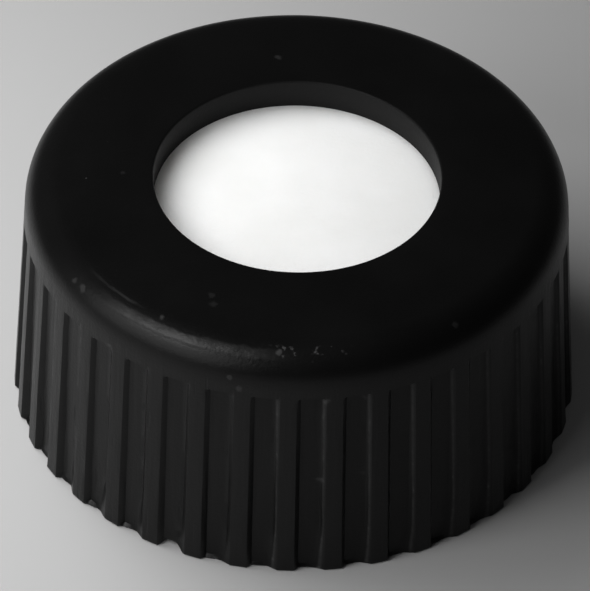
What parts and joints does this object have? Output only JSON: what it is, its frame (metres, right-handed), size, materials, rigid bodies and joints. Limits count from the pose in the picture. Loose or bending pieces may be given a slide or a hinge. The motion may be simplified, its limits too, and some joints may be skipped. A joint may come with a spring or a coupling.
{
  "type": "septum screw cap",
  "caption": "Black ribbed open-top screw cap for a small sample vial, with a white rubber septum held under the plate around its needle hole.",
  "frame": {"origin": "on the cap's axis, in the plane of its rim, so the cap stands mouth down on XY", "axes": "+Z along the axis, from the open mouth up to the top plate with the needle hole; +X through the top of a grip rib"},
  "size_m": [0.0116, 0.0116, 0.0055],
  "materials": {
    "cap_plastic": "satin",
    "septum_rubber": "matte"
  },
  "bodies": {
    "root": {"screw_cap": "cap_plastic", "septum": "septum_rubber"}
  },
  "joints": []
}
